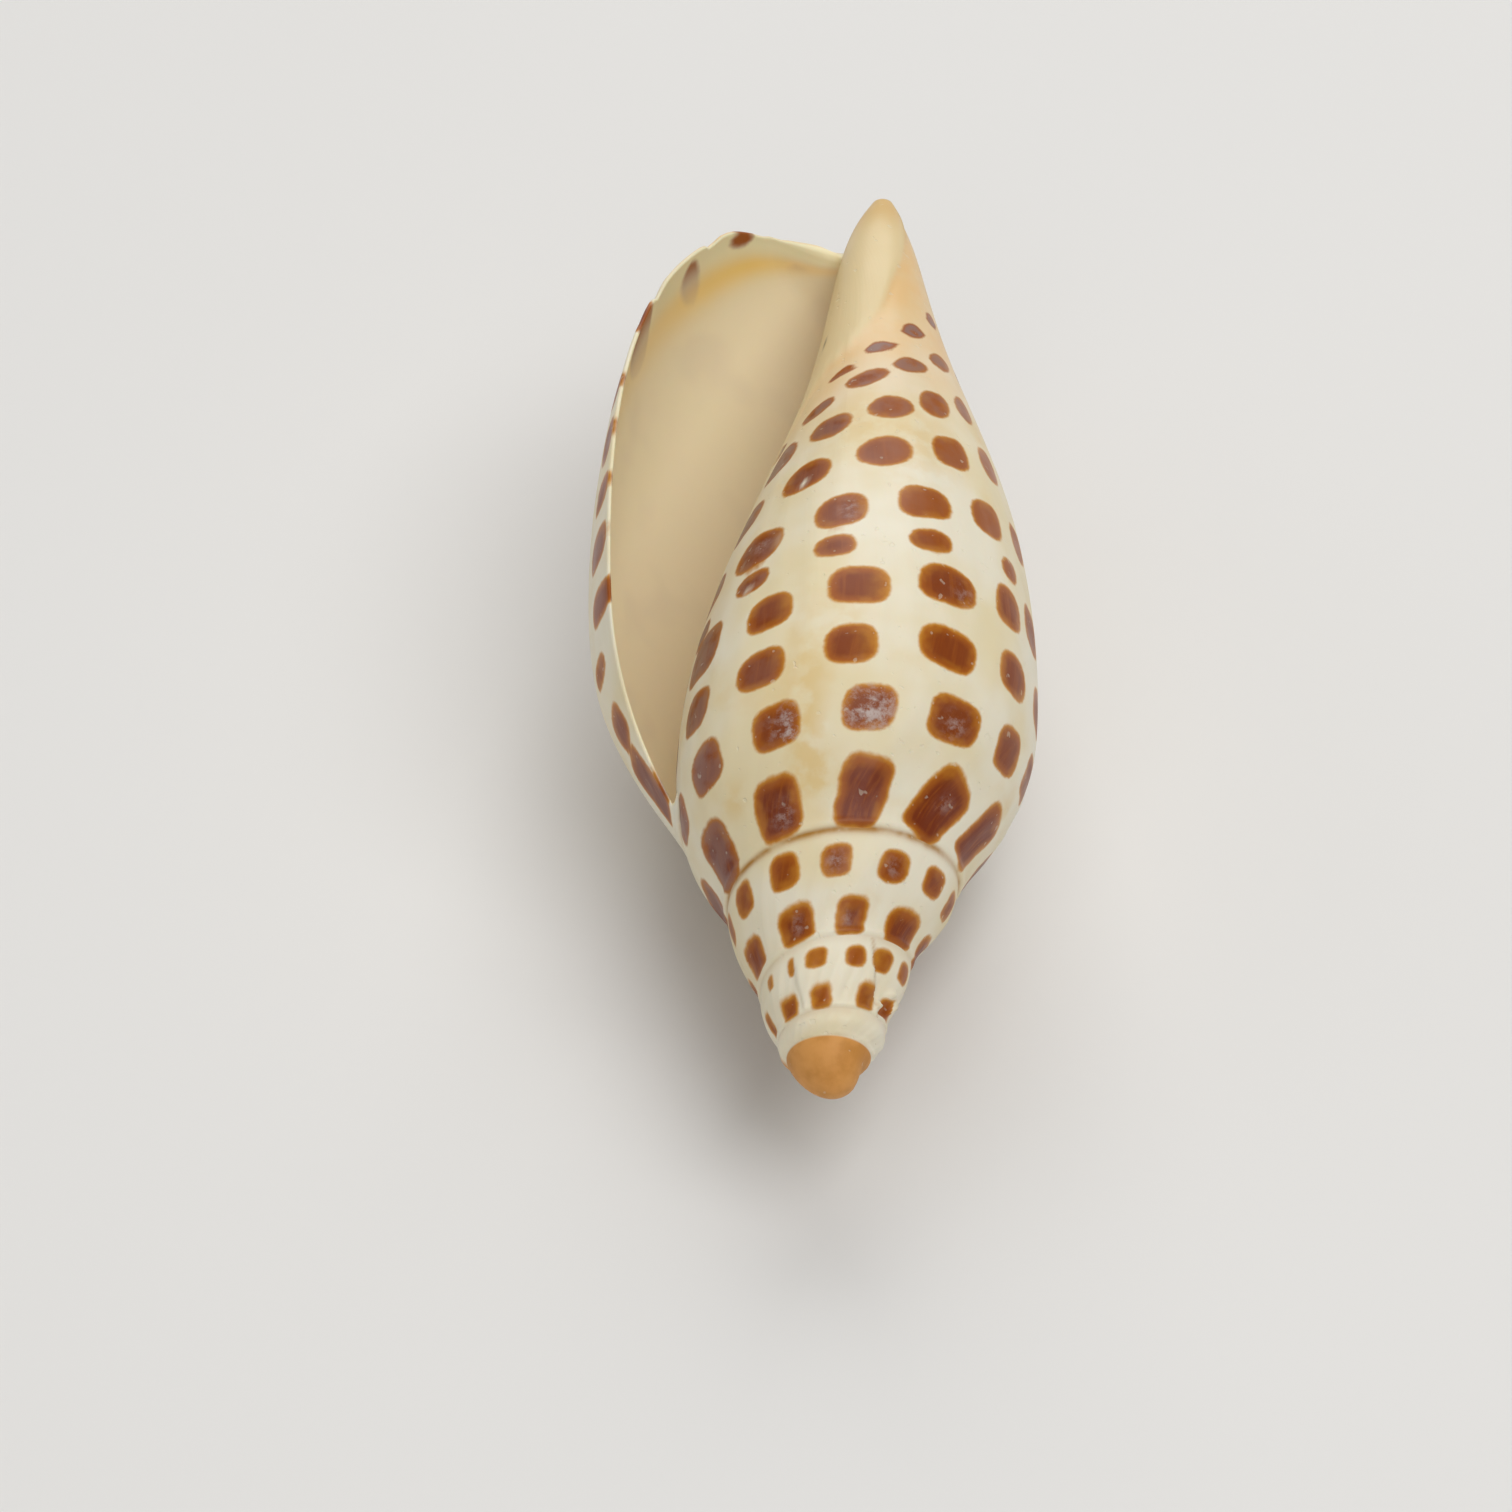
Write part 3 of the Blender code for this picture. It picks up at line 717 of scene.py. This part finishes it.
def all_spots():
    """Every spot of the pattern, with small seeded differences between them."""
    random = np.random.default_rng(SPOT_SEED)
    spots = []
    for row in SPOT_ROWS:
        for turn, along, half_width, half_height in fill_gaps(row.spots, row.pitch):
            wider, higher, tilted, boxier, worn = SPOT_VARIES * random.uniform(-1, 1, len(SPOT_VARIES))
            per_turn, per_along = millimetres_at(turn, along)
            # Near the mouth the spots grow greyer: wear, and partly a painted reflection.
            near_mouth = ramp(turn, *WEAR_AND_SHEEN_TURNS) * (turn > WEAR_AND_SHEEN_OLDEST)
            spots.append(Spot(turn, along, half_width * per_turn * (1 + wider),
                              half_height * per_along * (1 + higher),
                              math.radians(row.tilt + tilted), row.boxy * (1 + boxier),
                              row.wear + WEAR_AND_SHEEN_MORE * near_mouth + worn, per_turn, per_along))
    return spots


def oval_distance(x, y, half_width, half_height, boxy):
    """Distance to the edge of an oval or boxy spot, negative inside."""
    across, up = np.abs(x) / half_width, np.abs(y) / half_height
    size = np.maximum((across ** boxy + up ** boxy) ** (1 / boxy), TINY)
    slope = np.hypot((across / size) ** (boxy - 1) / half_width, (up / size) ** (boxy - 1) / half_height)
    return np.maximum((size - 1) / np.maximum(slope, TINY), -min(half_width, half_height))


def wander(turn, along):
    """Small even shifts in turn and along that keep the spots from looking ruled."""
    noise.seed_set(SPOT_SEED)
    places = np.stack((turn / WANDER_SIZE[0], along / WANDER_SIZE[1], np.zeros(len(turn))), axis=-1)
    shifts = np.array([noise.noise_vector(Vector(place)) for place in places])
    return turn + WANDER[0] * shifts[:, 0], along + WANDER[1] * shifts[:, 1]


def spot_layers(turn, along):
    """Distance from each place to the nearest spot's edge, negative inside, and that spot's wear, which
    near the mouth is partly a painted reflection.
    """
    edge, wear = np.full(len(turn), FAR), np.zeros(len(turn))
    turn, along = wander(turn, along)
    for spot in all_spots():
        close = (np.abs(turn - spot.turn) < SPOT_REACH[0]) & (np.abs(along - spot.along) < SPOT_REACH[1])
        near = np.flatnonzero(close)
        x = (turn[near] - spot.turn) * spot.per_turn
        y = (along[near] - spot.along) * spot.per_along
        c, s = math.cos(spot.tilt), math.sin(spot.tilt)
        x, y = c * x - s * y, s * x + c * y
        distance = oval_distance(x, y, spot.half_width, spot.half_height, spot.boxy)
        closer = distance < edge[near]
        edge[near[closer]] = distance[closer]
        wear[near[closer]] = spot.wear
    return edge, wear


def golden(along, age):
    """Strength of the golden band inside the lip, which comes nearer the edge towards the spire."""
    middle = np.interp(along, GOLD_ALONG, GOLD_AGE)
    return np.exp(-((age - middle) / GOLD_WIDTH) ** 2) * np.interp(along, GOLD_ALONG, GOLD_STRENGTH)


def patches(listed, turn, along):
    """Soft oval patches, from 0 to 1."""
    shares = [strength * np.exp(-((turn - middle) / width) ** 2 - ((along - middle_along) / height) ** 2)
              for middle, middle_along, width, height, strength in listed]
    return np.clip(sum(shares), 0, 1)


def rusty(turn, along):
    """How rusty the spots are, from 0 to 1."""
    late = ramp(turn, *LATE_RUST_TURNS) * ramp(along, *LATE_RUST_ALONG) * (turn < LATE_RUST_ENDS)
    below_shoulder = ramp(along, *BELOW_SHOULDER)
    old = ramp(turn, *OLD_RUST_TURNS) * (OLD_RUST + OLD_RUST_BELOW * below_shoulder)
    return np.maximum(old, np.maximum(LATE_RUST * late, RUST_BELOW * below_shoulder))


def seam_dirt_and_ledge_shadow(turn, along):
    """Strength of the seams' dirt, most on the newest, and of the painted shadow at the foot of the sunken
    ledge.
    """
    to_seams = seam_distances(turn, along)
    strength = OLD_SEAM_DIRT + (1 - OLD_SEAM_DIRT) * newest_seam(turn, *to_seams)
    seams = strength * np.exp(-(np.minimum(*to_seams) / SEAM_DIRT_WIDTH) ** 2)
    past = turn - np.interp(along, SCAR_ALONG, SCARS[1][0])
    ledge_shadow = LEDGE_SHADOW * np.exp(-(past / LEDGE_SHADOW_WIDTH - 1) ** 2) * (along < SCAR_ALONG[-1])
    return np.maximum(seams, ledge_shadow)


def lip_pale(along, depth):
    """1 on the pale zone just inside the lip's edge, which is wider towards the front."""
    reach = np.interp(along, PALE_ALONG, PALE_REACH)
    return ramp(depth / reach, *PALE_FADE) * ramp(along, *PALE_START)


def paint_layers(places):
    """Every layer that the material reads, at each place: masks from 0 to 1, and distances."""
    turn, along, inside, dome = np.array(places).T
    age = growth(turn, along)
    depth = np.clip(-100 * age, 0, DEEPEST)
    spot_edge, spot_wear_and_sheen = spot_layers(turn, along)
    ridges = [(middle, middle_along, BARE_SHARE * width, BARE_SHARE * height, 1)
              for middle, middle_along, width, height, _ in CRUMPLES]
    layers = {
        "spot_edge": np.where(dome > 0, FAR, spot_edge + BARE * patches(ridges, turn, along)),
        # Spot wear, near the mouth partly a painted reflection, and the glaze's film.
        "spot_wear_and_sheen": np.clip(spot_wear_and_sheen + GLAZED_WEAR * glaze(turn, along, GLAZE_FILM), 0, 1),
        "rusty": rusty(turn, along),
        "inside": ramp(inside, *INNER_FROM),
        "lip_depth": depth * (inside > 0),
        "lip_pale": lip_pale(along, depth) * (inside > 0),
        "golden": golden(along, age) * inside,
        "dome": np.maximum(ramp(dome, *DOME_SHARES), ramp(turn, *DOME_TURNS)),
        "along": along,
        "age": age,
    }
    outside = {
        "glaze": glaze(turn, along, GLAZE_EDGE),
        "deep": ramp(turn, *DEEP_TURNS) * ramp(along, *DEEP_ALONG),
        "front": ramp(along, *FRONT_ALONG),
        "tip": ramp(along, *TIP_ALONG),
        # The seams' dirt, and the painted shadow at the foot of the sunken ledge.
        "seam": seam_dirt_and_ledge_shadow(turn, along) * (dome == 0),
    }
    outside |= {name: patches(listed, turn, along) for name, listed in PATCHES.items()}
    shown = ramp(inside, *OUTER_UNTIL)
    return layers | {name: values * shown for name, values in outside.items()}


class Paint:
    """The nodes of one material, made by short calls that hand on their results."""

    def __init__(self, name):
        self.material = bpy.data.materials.new(name)
        self.material.use_nodes = True
        self.tree = self.material.node_tree
        self.shader = self.tree.nodes["Principled BSDF"]

    def node(self, kind, inputs, **settings):
        """Add a node. Its inputs are other nodes' results or plain values."""
        made = self.tree.nodes.new("ShaderNode" + kind)
        for name, value in settings.items():
            setattr(made, name, value)
        for name, value in inputs.items():
            self.feed(made.inputs[name], value)
        return made

    def feed(self, socket, value):
        """Join a result to an input, or set the input's plain value."""
        if isinstance(value, bpy.types.NodeSocket):
            self.tree.links.new(value, socket)
        else:
            socket.default_value = value

    def layer(self, name):
        """A layer of the mesh's paint."""
        return self.node("Attribute", {}, attribute_name=name).outputs["Fac"]

    def math(self, operation, first, second):
        """One sum of two numbers."""
        return self.node("Math", {0: first, 1: second}, operation=operation).outputs[0]

    def between(self, value, low, high, to_low=0.0, to_high=1.0):
        """An even S-curve as the value goes from low to high."""
        inputs = {"Value": value, "From Min": low, "From Max": high, "To Min": to_low, "To Max": to_high}
        return self.node("MapRange", inputs, interpolation_type="SMOOTHSTEP").outputs["Result"]

    def noise(self, place, size, detail, roughness=0.5):
        """Cloudy noise whose lumps are about that size."""
        inputs = {"Vector": place, "Scale": 1 / size, "Detail": detail, "Roughness": roughness}
        return self.node("TexNoise", inputs).outputs["Fac"]

    def clouds(self, place, size, detail, low, high, to_low=0.0, to_high=1.0, roughness=0.5):
        """Cloudy noise that is to_low where it is below low, and to_high where it is above high."""
        return self.between(self.noise(place, size, detail, roughness), low, high, to_low, to_high)

    def mix(self, share, first, second):
        """The first colour, and the second over that share of it."""
        return self.node("MixRGB", {"Fac": share, "Color1": first, "Color2": second}).outputs["Color"]

    def times(self, *factors):
        """The product of several numbers."""
        product = factors[0]
        for factor in factors[1:]:
            product = self.math("MULTIPLY", product, factor)
        return product


CREAM = (0.8, 0.69, 0.44, 1)
CREAM_WHITE = (0.85, 0.79, 0.63, 1)
STAIN_YELLOW = (0.74, 0.52, 0.2, 1)
SPOT_BROWN = (0.185, 0.03, 0.005, 1)
SPOT_RUST = (0.37, 0.098, 0.007, 1)
SPOT_RIM = (0.6, 0.27, 0.035, 1)
SPOT_GOLD = (0.54, 0.22, 0.02, 1)
# Grey of worn spots, which near the mouth is partly a painted reflection.
SPOT_WEAR_AND_SHEEN = (0.285, 0.165, 0.135, 1)
# Grey-white of the rubbed places: wear, and a painted highlight.
RUBBED_AND_SHEEN_GREY = (0.52, 0.42, 0.38, 1)
GLAZE_CREAM = (0.78, 0.63, 0.36, 1)
FRONT_ORANGE = (0.82, 0.55, 0.26, 1)
TIP_TAN = (0.71, 0.46, 0.17, 1)
# Brown of the seams' dirt, also used for the painted shadow at the sunken ledge's foot.
SEAM_DIRT_AND_SHADOW_BROWN = (0.44, 0.21, 0.035, 1)
SPECK_BROWN = (0.1, 0.05, 0.03, 1)
DOME_ORANGE = (0.7, 0.33, 0.09, 1)
DOME_TAN = (0.57, 0.25, 0.055, 1)
INNER_BEIGE = (0.94, 0.8, 0.57, 1)
INNER_CREAM = (0.94, 0.83, 0.55, 1)
INNER_DEEP = (0.78, 0.58, 0.38, 1)
# Golden band and pale zone: their own colours, made lighter as painted light where the lip's inside is
# shaded.
INNER_GOLD = (1.0, 0.68, 0.21, 1)
EDGE_PALE = (1.0, 0.93, 0.62, 1)
INNER_GREY = (0.46, 0.38, 0.36, 1)
FLOOR_PALE = (0.8, 0.79, 0.77, 1)
FLOOR_GREY = (0.7, 0.7, 0.7, 1)
SURROUND_WHITE = (1.0, 0.98, 0.95, 1)


# Distances from a spot's edge are in millimetres here, negative inside, and the clouds' sizes in metres.
def ground_colour(paint, place, streaks):
    """The outer face between the spots."""
    ground = paint.mix(paint.clouds(place, 11 * MM, 3, 0.35, 0.62), CREAM, CREAM_WHITE)
    ground = paint.mix(paint.clouds(place, 7 * MM, 4, 0.56, 0.72, 0.0, 0.3), ground, STAIN_YELLOW)
    patchy = paint.clouds(place, 2 * MM, 3, 0.35, 0.6, 0.1, 0.7)
    ground = paint.mix(paint.times(paint.layer("stain"), patchy), ground, STAIN_YELLOW)
    ground = paint.mix(paint.clouds(streaks, 1.0, 3, 0.35, 0.75, 0.0, 0.06), ground, INNER_DEEP)
    cloudy = paint.clouds(place, 5 * MM, 3, 0.3, 0.7, 0.6, 1.0)
    ground = paint.mix(paint.times(paint.layer("front"), cloudy), ground, FRONT_ORANGE)
    uneven = paint.clouds(place, 2.5 * MM, 3, 0.35, 0.65, 0.45, 1.0)
    # The seams' dirt, and a painted shadow at the foot of the sunken ledge.
    return paint.mix(paint.times(paint.layer("seam"), uneven), ground, SEAM_DIRT_AND_SHADOW_BROWN)


def spot_colour(paint, edge, place, streaks):
    """A spot: rust, darker in its core, with an orange rim, streaked along the growth, and worn. Its
    greying near the mouth is partly a painted reflection, and its rubbed places carry a painted highlight.
    """
    core = paint.mix(paint.between(edge, -0.25, -1.1), SPOT_RUST, SPOT_BROWN)
    core = paint.mix(paint.clouds(streaks, 0.5, 2, 0.45, 0.75, 0.0, 0.45), core, SPOT_RUST)
    core = paint.mix(paint.layer("rusty"), core, SPOT_RUST)
    near_rim = paint.between(edge, -1.3, -0.3, 0.0, 0.4)
    core = paint.mix(paint.times(paint.clouds(place, 2.2 * MM, 2, 0.48, 0.66), near_rim), core, SPOT_GOLD)
    cloudy = paint.clouds(place, 1.2 * MM, 3, 0.3, 0.6, 0.5, 1.0)
    core = paint.mix(paint.times(paint.layer("gilt"), cloudy), core, SPOT_GOLD)
    # Worn grey, near the mouth partly a painted reflection.
    worn = paint.times(paint.layer("spot_wear_and_sheen"), paint.clouds(place, 1.8 * MM, 4, 0.3, 0.55))
    rim = paint.mix(paint.layer("spot_wear_and_sheen"), SPOT_RIM, SPOT_RUST)
    core = paint.mix(paint.between(edge, -0.4, 0.02), paint.mix(worn, core, SPOT_WEAR_AND_SHEEN), rim)
    # Rubbed places: wear, and a painted highlight's haze.
    scratched = paint.clouds(place, 0.9 * MM, 5, 0.42, 0.66, roughness=0.75)
    return paint.mix(paint.times(paint.layer("rubbed_and_sheen"), scratched), core, RUBBED_AND_SHEEN_GREY)


def inner_colour(paint, place, edge):
    """The smooth inner face, with a golden band near the lip and the spots faintly showing at its edge."""
    depth = paint.layer("lip_depth")
    inner = paint.mix(paint.noise(place, 15 * MM, 2), INNER_BEIGE, INNER_CREAM)
    inner = paint.mix(paint.between(depth, 10.0, 45.0, 0.0, 0.6), inner, INNER_DEEP)
    grey = paint.times(paint.clouds(place, 9 * MM, 2, 0.52, 0.66), 0.1)
    inner = paint.mix(grey, inner, INNER_GREY)
    # The golden band and the pale zone, made lighter than their own colours as painted light.
    inner = paint.mix(paint.times(paint.layer("golden"), 0.9), inner, INNER_GOLD)
    inner = paint.mix(paint.times(paint.layer("lip_pale"), 0.75), inner, EDGE_PALE)
    inside_spot = paint.between(edge, 0.25, -0.5)
    haze = paint.times(inside_spot, paint.between(depth, 7.0, 0.8, 0.0, 0.7))
    inner = paint.mix(haze, inner, INNER_GREY)
    brown = paint.times(inside_spot, paint.between(depth, 3.2, 0.4, 0.0, 0.95),
                        paint.between(paint.layer("along"), 0.2, 0.35))
    return paint.mix(brown, inner, SPOT_RUST)


def shell_colour(paint, place, streaks, pits_and_glints):
    """The shell's colour: ground, spots, glaze, both ends, inner face, and pits whose white is partly
    painted glint.
    """
    ragged = paint.clouds(place, 0.6 * MM, 3, 0.2, 0.8, -0.05, 0.05)
    edge = paint.math("ADD", paint.layer("spot_edge"), ragged)
    spots = spot_colour(paint, edge, place, streaks)
    colour = paint.mix(paint.between(edge, 0.18, -0.14), ground_colour(paint, place, streaks), spots)
    colour = paint.mix(paint.times(paint.layer("glaze"), 0.95), colour, GLAZE_CREAM)
    colour = paint.mix(paint.times(paint.layer("tip"), 0.8), colour, TIP_TAN)
    colour = paint.mix(paint.layer("speck"), colour, SPECK_BROWN)
    colour = paint.mix(paint.layer("deep"), colour, INNER_BEIGE)
    dome = paint.mix(paint.clouds(place, 2 * MM, 5, 0.35, 0.68), DOME_ORANGE, DOME_TAN)
    colour = paint.mix(paint.layer("dome"), colour, dome)
    colour = paint.mix(paint.layer("inside"), colour, inner_colour(paint, place, edge))
    # Listed white pits, partly a painted glint.
    colour = paint.mix(paint.layer("pit_and_glint"), colour, CREAM_WHITE)
    return paint.mix(paint.times(pits_and_glints, 0.25), colour, CREAM_WHITE)


def shell_material():
    """Glossy shell, painted by the mesh's layers."""
    paint = Paint("junonia_shell")
    place = paint.node("TexCoord", {}).outputs["Object"]
    across, down = (paint.times(paint.layer(name), often) for name, often in STREAKS)
    streaks = paint.node("CombineXYZ", {"X": across, "Y": down}).outputs[0]
    outside = paint.math("SUBTRACT", 1.0, paint.layer("inside"))
    # Small pits: sunk as bumps, and painted white, partly as a painted glint.
    pits_and_glints = paint.times(paint.clouds(place, 0.7 * MM, 1, 0.7, 0.76), outside)
    paint.feed(paint.shader.inputs["Base Color"], shell_colour(paint, place, streaks, pits_and_glints))

    height = paint.math("SUBTRACT", paint.times(paint.noise(streaks, 0.7, 3), 0.4), pits_and_glints)
    bump = paint.node("Bump", {"Height": height, "Distance": 0.04 * MM, "Strength": 0.8})
    paint.feed(paint.shader.inputs["Normal"], bump.outputs[0])
    gloss = paint.clouds(place, 3 * MM, 3, 0.3, 0.7, 0.3, 0.44)
    roughness = paint.math("ADD", gloss, paint.times(paint.layer("dome"), 0.2))
    paint.feed(paint.shader.inputs["Roughness"], roughness)
    paint.shader.inputs["Specular IOR Level"].default_value = 0.2
    paint.shader.inputs["Coat Weight"].default_value = 0.04
    paint.shader.inputs["Coat Roughness"].default_value = 0.15
    paint.shader.inputs["Subsurface Weight"].default_value = 0.12
    paint.shader.inputs["Subsurface Radius"].default_value = (1.0, 0.6, 0.35)
    paint.shader.inputs["Subsurface Scale"].default_value = 1.5 * MM
    return paint.material


def stand_matrix(skin):
    """From the shell's own millimetres to its place on the floor, in metres."""
    lie = Matrix.Rotation(LIE_TIP, 4, "X") @ Matrix.Rotation(LIE_ROLL, 4, "Y")
    used = sorted({number for face in skin.faces for number in face})
    lain = np.array(skin.points)[used] @ np.array(lie.to_3x3()).T
    low, high = lain.min(axis=0), lain.max(axis=0)
    cad_low, cad_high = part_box("shell")
    middle = (cad_low + cad_high) / 2
    offset = Vector((middle.x - (low[0] + high[0]) / 2 * MM, middle.y - (low[1] + high[1]) / 2 * MM,
                     cad_low.z - (low[2] + FLAT_DEPTH) * MM))
    return Matrix.Translation(offset) @ Matrix.Scale(MM, 4) @ lie


def face_outward(mesh):
    """Turn every face of a closed mesh outward."""
    bm = bmesh.new()
    bm.from_mesh(mesh)
    bmesh.ops.recalc_face_normals(bm, faces=bm.faces[:])
    bm.to_mesh(mesh)
    bm.free()


def shell_mesh(skin, stand):
    """The skin as a mesh that stands on the floor, with its paint layers on the corners of its faces."""
    used, numbers = np.unique([number for face in skin.faces for number in face], return_inverse=True)
    turned = np.array(stand)
    world = np.array(skin.points)[used] @ turned[:3, :3].T + turned[:3, 3]
    world[:, 2] = np.maximum(world[:, 2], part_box("shell")[0].z)
    numbers = iter(numbers.tolist())
    faces = [[next(numbers) for _ in face] for face in skin.faces]
    mesh = bpy.data.meshes.new("junonia_shell")
    mesh.from_pydata(world.tolist(), [], faces)
    for name, values in paint_layers(skin.places).items():
        layer = mesh.attributes.new(name, "FLOAT", "CORNER")
        layer.data.foreach_set("value", values[skin.corners].astype(np.float32))
    face_outward(mesh)
    mesh.shade_smooth()
    return mesh


def add_object(name, data):
    """A new object of the scene."""
    made = bpy.data.objects.new(name, data)
    bpy.context.scene.collection.objects.link(made)
    return made


def add_shell(skin, stand):
    """The shell as one piece that stands for the CAD node."""
    mesh = shell_mesh(skin, stand)
    mesh.materials.append(shell_material())
    piece = add_object("junonia_shell", mesh)
    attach(piece, "root")
    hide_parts("shell")


def add_floor():
    """A wide plain pale floor."""
    half = FLOOR_SIZE / 2
    corners = [(-half, -half, 0), (half, -half, 0), (half, half, 0), (-half, half, 0)]
    mesh = bpy.data.meshes.new("floor")
    mesh.from_pydata(corners, [], [(0, 1, 2, 3)])
    paint = Paint("floor")
    clouds = paint.clouds(paint.node("TexCoord", {}).outputs["Object"], 0.2, 2, 0.3, 0.7, 0.0, 0.04)
    paint.feed(paint.shader.inputs["Base Color"], paint.mix(clouds, FLOOR_PALE, FLOOR_GREY))
    paint.shader.inputs["Roughness"].default_value = 0.8
    mesh.materials.append(paint.material)
    floor = add_object("floor", mesh)


def add_camera(stand):
    """The camera, where the photograph was taken from."""
    turned = Matrix.Identity(4)
    for degrees, axis in CAMERA_TURNS:
        turned = turned @ Matrix.Rotation(math.radians(degrees), 4, axis)
    lens = bpy.data.cameras.new("camera")
    lens.sensor_width = SENSOR
    lens.lens = CAMERA_LENS
    camera = add_object("camera", lens)
    camera.matrix_world = stand @ turned @ Matrix.Translation(CAMERA_PLACE) @ Matrix.Scale(1 / MM, 4)
    bpy.context.scene.camera = camera


def add_light(name, place, size, power):
    """A soft square light that faces the shell."""
    lamp = bpy.data.lights.new(name, "AREA")
    lamp.size = size
    lamp.energy = power
    light = add_object(name, lamp)
    light.location = place
    light.rotation_euler = (Vector(LIT_POINT) - Vector(place)).to_track_quat("-Z", "Y").to_euler()


def add_lights():
    """A key from the upper right, softer lights from three other sides, and a pale surround."""
    for light in LIGHTS:
        add_light(*light)
    world = bpy.data.worlds.new("surround")
    world.use_nodes = True
    background = world.node_tree.nodes["Background"]
    background.inputs["Color"].default_value = SURROUND_WHITE
    background.inputs["Strength"].default_value = SURROUND
    bpy.context.scene.world = world


def main():
    """The whole scene."""
    skin = build_skin()
    stand = stand_matrix(skin)
    add_shell(skin, stand)
    add_floor()
    add_camera(stand)
    add_lights()
    bpy.context.scene.view_settings.view_transform = "Standard"


main()
